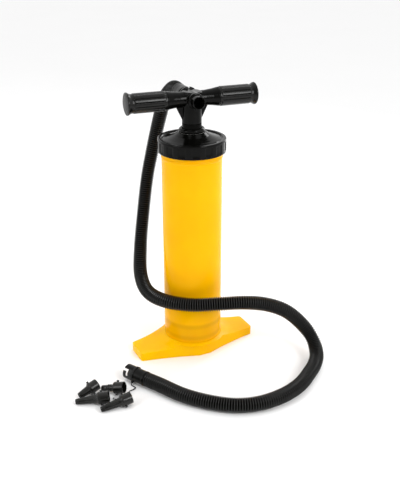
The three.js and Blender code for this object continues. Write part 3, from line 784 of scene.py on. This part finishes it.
def foot_plan(inset):
    """The foot's outline: narrow ends and a wide waist, joined by slightly hollow sides."""
    end = FOOT_HALF_LENGTH - inset
    half = FOOT_END_HALF_WIDTH - inset
    mid = FOOT_MID_HALF_WIDTH - inset
    flat, corner, bend_x, bend_y = FOOT_MID_HALF_FLAT, 4, 52, 33.5 - inset
    quarter = [(end, half - corner)]
    quarter += quadratic(quarter[-1], (end, half), (end - corner, half + 1), 5)
    quarter += quadratic(quarter[-1], (bend_x, bend_y), (flat, mid))
    outline = quarter + [(-x, y) for x, y in reversed(quarter)]
    return outline + [(-x, -y) for x, y in outline]


def foot_body(inset, drop, low):
    """The plan raised under a roof that sweeps up to the barrel from all round."""
    slope = [(r, z - drop, soft) for r, z, soft in FOOT_ROOF]
    base = [(0, low - 5, 0), (FOOT_ROOF[0][0], low - 5, 0)]
    roof = rounded(base + slope + [(0, FOOT_MID_HEIGHT - drop, 0)], 0, closed=False, steps=5)
    raised = link("foot", prism(foot_plan(inset), low, FOOT_MID_HEIGHT + 1))
    return combine(raised, turned(roof, 160), "INTERSECT")


foot = soften(foot_body(0, 0, -8), 3.0, angle=35, segments=5)
combine(foot, block((-130, -70, 0), (130, 70, 80)), "INTERSECT")
SEAT_LIP = [(44, 22), (56, 22), (56, 23.2), (52.5, 24.7), (50.2, 25.6), (50.2, 24.1), (44, 24.1)]
combine(foot, turned(SEAT_LIP, 128), "UNION")
spigot = rounded([
    (0, 20, 0), (BORE_R - 0.3, 20, 0), (BORE_R - 0.3, 32.6), (BORE_R - 1.4, 33.6), (BORE_R - 1.4, 36.4),
    (BORE_R - 0.3, 37.4), (BORE_R - 0.3, 48.6), (45.3, 48.6), (45.3, 52.4), (BORE_R - 0.3, 52.4),
    (BORE_R - 0.3, SPIGOT_TOP, 1.2), (0, SPIGOT_TOP, 0),
], 0.3, closed=False)
combine(foot, turned(spigot, 96), "UNION")
combine(foot, foot_body(FOOT_WALL, FOOT_WALL, -1), "DIFFERENCE")
combine(foot, turned([(0, -1), (42.5, -1), (42.5, SPIGOT_TOP - 3), (0, SPIGOT_TOP - 3)], 96), "DIFFERENCE")
within = foot_body(0.5, 0.5, 0)
combine(within, turned([(0, 20), (44, 20), (44, SPIGOT_TOP - 1), (0, SPIGOT_TOP - 1)], 96), "UNION")
ribs = link("ribs", block((-108, -2, 0), (108, 2, 22)))
for x in (-RIB_X, RIB_X):
    combine(ribs, block((x - 1.5, -36, 0), (x + 1.5, 36, 19)), "UNION")
combine(ribs, block((-1.5, -48, 0), (1.5, 48, 22)), "UNION")
centre_post = [(0, 0), (CENTRE_POST_R, 0), (CENTRE_POST_R, SPIGOT_TOP - 1), (0, SPIGOT_TOP - 1)]
combine(ribs, turned(centre_post, 48), "UNION")
combine(ribs, within, "INTERSECT")
combine(foot, ribs, "UNION")
finish_piece(foot, "foot_moulding", M_FOOT, "root", "foot_yellow", "base_foot", sharp=32)

# ---------------------------------------------------------------- barrel, cap, rod
barrel_profile = [
    (BORE_R, BARREL_BOTTOM), (BARREL_R, BARREL_BOTTOM, 0.6), (BARREL_R, 120, 0), (BARREL_R, 240, 0),
    (BARREL_R, BEAD_BOTTOM, 0.5), (BARREL_R + 0.9, BEAD_BOTTOM + 1.5, 0.8),
    (BARREL_R + 0.9, BEAD_TOP - 1.4, 0.8), (BARREL_R, BEAD_TOP, 0.5),
]
for z in THREADS:
    barrel_profile += [
        (BARREL_R, z - 1.4, 0.2), (BARREL_R + 1.6, z - 0.4, 0.2),
        (BARREL_R + 1.6, z + 0.4, 0.2), (BARREL_R, z + 1.4, 0.2),
    ]
barrel_profile += [
    (BARREL_R, BARREL_TOP, 0.5), (BORE_R, BARREL_TOP, 0.5), (BORE_R, 240, 0), (BORE_R, 120, 0),
]
barrel = link("barrel", turned(rounded(barrel_profile, 0.4), 144))
finish_piece(barrel, "barrel_tube", M_BARREL, "root", "barrel_yellow", "barrel")

CAP_SEGMENTS_PER_NOTCH = 24


def cap_swell(angle, r, z):
    """Sinks the cap's skirt at the finger notches."""
    low, high = CAP_BOTTOM + 3, CAP_RIM_TOP - 4.5
    if r < CAP_R - 0.5 or not low - 1 < z < high + 1:
        return r
    pitch = TURN / CAP_NOTCHES
    off = (angle - math.radians(CAP_NOTCH_FIRST) + pitch / 2) % pitch - pitch / 2
    across = smoothstep((CAP_NOTCH_HALF - abs(off) * CAP_R) / 0.9 + 0.5)
    up = smoothstep(min(z - low, high - z) / 0.9 + 0.5)
    return r - CAP_NOTCH_DEPTH * across * up


skirt = [(CAP_R, CAP_BOTTOM + h, 0) for h in (2.2, 2.7, 3.2, 3.8, 8, 12, 16, 17.1, 17.6, 18.1, 18.7)]
cap_profile = [(CAP_BORE_R, CAP_BOTTOM, 0.3), (CAP_R, CAP_BOTTOM, 1.0)] + skirt + [
    (CAP_R, CAP_RIM_TOP, 1.7), (50.6, CAP_RIM_TOP, 1.0),
    (49.6, CAP_RIM_TOP - 1.8, 0.4), (48.2, CAP_RIM_TOP - 1.8, 0.5),
    (46.6, 380.9, 0.8), (41, 382.4, 5), (35, 384.6, 5), (29.5, 387, 5), (25.2, 389.8, 3),
    (22.9, CAP_NECK_TOP, 0.8), (20.6, CAP_NECK_TOP, 0.3), (20.6, 386.2, 0), (31, 381.6, 0),
    (46, CAP_CEILING, 0), (CAP_BORE_R, CAP_CEILING, 0),
]
cap = link("cap", turned(rounded(cap_profile, 0.5), CAP_NOTCHES * CAP_SEGMENTS_PER_NOTCH, cap_swell))
finish_piece(cap, "cap_ring_moulding", M_BLACK, "root", "black_plastic", "cap", sharp=50)

collar = link("collar", turned(rounded([
    (ROD_R + 0.35, CAP_NECK_TOP + 0.3, 0.3), (20.2, CAP_NECK_TOP + 0.3, 0.4), (21.2, 393.6, 1.2),
    (21.1, 396.4, 2.2), (19.0, 398.6, 1.8), (17.2, 398.2, 0.6), (ROD_R + 0.35, 396.4, 0.4),
], 0.5), 96))
finish_piece(collar, "rod_collar_ring", M_BLACK, "root", "black_plastic", "rod_collar", sharp=50)

rod = link("rod", turned(rounded([
    (13.8, ROD_BOTTOM), (ROD_R, ROD_BOTTOM), (ROD_R, ROD_BOTTOM + 3, 0.1), (15.1, ROD_BOTTOM + 3, 0.1),
    (15.1, ROD_BOTTOM + 5.4, 0.1), (ROD_R, ROD_BOTTOM + 5.4, 0.1), (ROD_R, 200, 0), (ROD_R, 300, 0),
    (ROD_R, ROD_SHOULDER, 0.2), (ROD_TENON_R, ROD_SHOULDER, 0.2), (ROD_TENON_R, ROD_TENON_TOP),
    (12.6, ROD_TENON_TOP), (12.6, ROD_SHOULDER - 8, 1), (13.8, ROD_SHOULDER - 12, 1),
], 0.4), 96))
finish_piece(rod, "rod_tube_moulding", M_ROD, "handle", "black_plastic", "rod_tube")


# ---------------------------------------------------------------- T-handle
def along(side):
    """Lays a shape made along +Z along +X for side 1, or -X for side -1, at the handle's height."""
    return Matrix.Translation((0, 0, HANDLE_Z)) @ Matrix.Rotation(math.radians(90 * side), 4, "Y")


ARM = rounded([
    (0, 0, 0), (NECK_R, 0, 0), (NECK_R, 21, 10), (NECK_R + 1.3, 33.5, 12), (SHOULDER_R - 0.6, 40, 8),
    (SHOULDER_R, 43, 3), (SHOULDER_R, 44, 0.2), (ARM_CORE_R, 44, 0.2), (ARM_CORE_R, 104, 0.3), (0, 104, 0),
], 0.5, closed=False)


def port(length):
    return rounded([
        (0, 0, 0), (BOSS_R, 0, 0), (BOSS_R, 20.6, 0.8), (PORT_R, 21.2, 0.6), (PORT_R, length, 0.6),
        (0, length, 0),
    ], 0.5, closed=False)


def port_lugs(length):
    z = length - LUG_FROM_END
    lug = block((PORT_R - 1.5, -1.7, z - 1.7), (LUG_R, 1.7, z + 1.7))
    return [spun(lug, PORT_LUG_ROLL + half) for half in (0, 180)]


HUB = rounded([
    (0, ROD_SHOULDER + 0.35, 0), (ROD_R, ROD_SHOULDER + 0.35, 0.3), (ROD_R, HUB_TOP, 2.6), (0, HUB_TOP, 0),
], 1, closed=False, steps=6)
GUSSET = [(-28.6, HANDLE_Z - 8), (-15, 409.5), (15, 409.5), (28.6, HANDLE_Z - 8)]
STOP = rounded([
    (BOSS_R - 1, STOP_START, 0), (STOP_R, STOP_START), (STOP_R, STOP_END), (BOSS_R - 1, STOP_END, 0),
], 0.5)
ROD_SOCKET = [(0, ROD_SHOULDER), (14.9, ROD_SHOULDER), (14.9, 433), (7.8, 433), (7.8, 439.8), (0, 439.8)]
VOXEL = 0.55
handle_parts = [turned(HUB, 96), prism(GUSSET, -1.9, 1.9, "Y")]
handle_parts += [moved(turned(ARM, 96), along(side)) for side in (1, -1)]
for length, side in ((FRONT_PORT_END, -1), (REAR_PORT_END, 1)):
    handle_parts += [moved(part, fore_aft(side)) for part in [turned(port(length), 96)] + port_lugs(length)]
handle_parts.append(moved(turned(STOP, 96), fore_aft(1)))
handle = link("handle", gathered(handle_parts))
bake(handle, "REMESH", mode="VOXEL", voxel_size=VOXEL * MM)
bake(handle, "SMOOTH", factor=0.5, iterations=3)
for low, length, side in ((8.6, FRONT_PORT_END, -1), (3, REAR_PORT_END, 1)):
    mouth = [(PORT_BORE_R, length - 1.2), (PORT_BORE_R + 0.8, length + 1), (0, length + 1)]
    bore = [(0, low), (PORT_BORE_R, low)] + mouth
    combine(handle, moved(turned(bore, 96), fore_aft(side)), "DIFFERENCE")
stop_notch = block((-1, -STOP_R - 1, STOP_START - 0.6), (2.5, -BOSS_R - 0.4, STOP_END + 0.6))
combine(handle, moved(stop_notch, fore_aft(1)), "DIFFERENCE")
combine(handle, turned(ROD_SOCKET, 72), "DIFFERENCE")
place(handle, HANDLE)
finish_piece(handle, "handle_moulding", M_BLACK, "handle", "black_plastic", "handle_body", sharp=60)

GRIP_SEGMENTS = GRIP_RIBS * 14


def grip_swell(angle, r, s):
    """Broad rounded ribs along the grip, with narrow grooves between them and rounded ends."""
    if r < GRIP_R - 1.5 or not GRIP_RIBS_START - 1 < s < GRIP_RIBS_END + 1:
        return r
    turn = (angle / TURN * GRIP_RIBS) % 1 - 0.5
    edge = smoothstep((0.5 - abs(turn)) / 0.15)
    inner_end = smoothstep((s - GRIP_RIBS_START - 1.6 * (2 * abs(turn)) ** 3) / 1.1)
    outer_end = smoothstep((GRIP_RIBS_END - s) / 1.6)
    crown = 0.16 * (1 - (2 * turn) ** 2)
    return r - GRIP_GROOVE + (GRIP_GROOVE * edge + crown) * inner_end * outer_end \
        + GRIP_GROOVE * 0.5 * (1 - inner_end * outer_end)


ribbed = [GRIP_RIBS_START - 0.9 + 0.45 * k for k in range(14)] + [54 + 4 * k for k in range(10)]
ribbed += [93.5 + 0.7 * k for k in range(9)]
grip_profile = rounded(
    [(ARM_CORE_R + 0.3, GRIP_START, 0.2), (GRIP_R - 0.6, GRIP_START, 0.3)]
    + [(GRIP_R, s, 0) for s in ribbed]
    + [(GRIP_R - 0.5, 101, 2), (GRIP_R + 0.4, 103.2, 3), (FLANGE_R - 0.8, 105.2, 2),
       (FLANGE_R, 106.6, 1.2), (FLANGE_R, GRIP_END, 0.9), (GRIP_R, GRIP_END, 0.4),
       (GRIP_R, 105, 0.2), (ARM_CORE_R + 0.3, 105, 0.2)], 0.3)
END_CAP = rounded([
    (0, 105.3, 0), (15.3, 105.3, 0.2), (15.3, 108.6, 0.7), (14.2, 109.5, 0.5), (12.6, 109.7, 0.3),
    (12.2, 109.35, 0.3), (11.6, 109.35, 0.3), (11.2, 109.8, 0.3), (6, 110.4, 3), (0, 110.6, 0),
], 0.3, closed=False)
for side, word in ((-1, "left"), (1, "right")):
    grip = link("grip", turned(grip_profile, GRIP_SEGMENTS, grip_swell))
    place(grip, HANDLE @ along(side))
    finish_piece(grip, f"grip_{word}_ribbed", M_GRIP, "handle", "grip_black", f"grip_{word}", sharp=50)
    end_cap = link("end_cap", turned(END_CAP, 96))
    place(end_cap, HANDLE @ along(side))
    finish_piece(end_cap, f"grip_cap_{word}_disc", M_GRIP_CAP, "handle", "grip_cap_black",
                 f"grip_cap_{word}")

# ---------------------------------------------------------------- floor and light
FLOOR_HALF = 12000
FLOOR_Z = -0.3
floor_corners = [(x * FLOOR_HALF, y * FLOOR_HALF, FLOOR_Z) for x, y in ((-1, -1), (1, -1), (1, 1), (-1, 1))]
floor = link("floor", (floor_corners, [(0, 1, 2, 3)]))
floor_material, floor_tree = nodes_of("floor_white")
floor_graph = Graph(floor_tree)
paper = floor_graph.noise(floor_graph.node("ShaderNodeTexCoord").outputs["Object"], 3, 2)
floor_graph.node("ShaderNodeOutputMaterial", {"Surface": floor_graph.node("ShaderNodeBsdfPrincipled", {
    "Base Color": floor_graph.mix(paper, (0.94, 0.94, 0.94, 1), (0.96, 0.96, 0.96, 1)), "Roughness": 0.9,
    "Specular IOR Level": 0.1,
}).outputs[0]})
floor.data.materials.append(floor_material)

FRONT = Vector((-0.42, -0.86, 0.28)).normalized()
world = bpy.data.worlds.new("studio")
world.use_nodes = True
world.node_tree.nodes.clear()
w = Graph(world.node_tree)
toward = w.node("ShaderNodeTexCoord").outputs["Generated"]
facing = w.node("ShaderNodeVectorMath", {0: toward, 1: FRONT}, operation="DOT_PRODUCT").outputs["Value"]
brightness = w.span(facing, 0.3, 0.95, 1.2, 0.25)
w.node("ShaderNodeOutputWorld", {"Surface": w.node("ShaderNodeBackground", {
    "Color": (1, 1, 1, 1), "Strength": brightness,
}).outputs[0]})
bpy.context.scene.world = world


def softbox(name, at, aim, size, radiance):
    """A rectangular area light of an even radiance, aimed at a point in millimetres."""
    data = bpy.data.lights.new(name, "AREA")
    data.shape = "RECTANGLE"
    data.size, data.size_y = size
    data.energy = radiance * math.pi * size[0] * size[1]
    obj = bpy.data.objects.new(name, data)
    obj.location = Vector(at) * MM
    obj.rotation_euler = (Vector(aim) - Vector(at)).to_track_quat("-Z", "Y").to_euler()
    bpy.context.scene.collection.objects.link(obj)


softbox("key", (430, -1500, 1110), (0, 0, HANDLE_Z), (0.55, 0.7), 13)
softbox("left", (-1500, -300, 900), (0, 0, 350), (0.6, 1.0), 4)
softbox("right", (1300, 700, 800), (0, 0, 350), (0.35, 1.2), 6)

bpy.context.scene.view_settings.view_transform = "Standard"
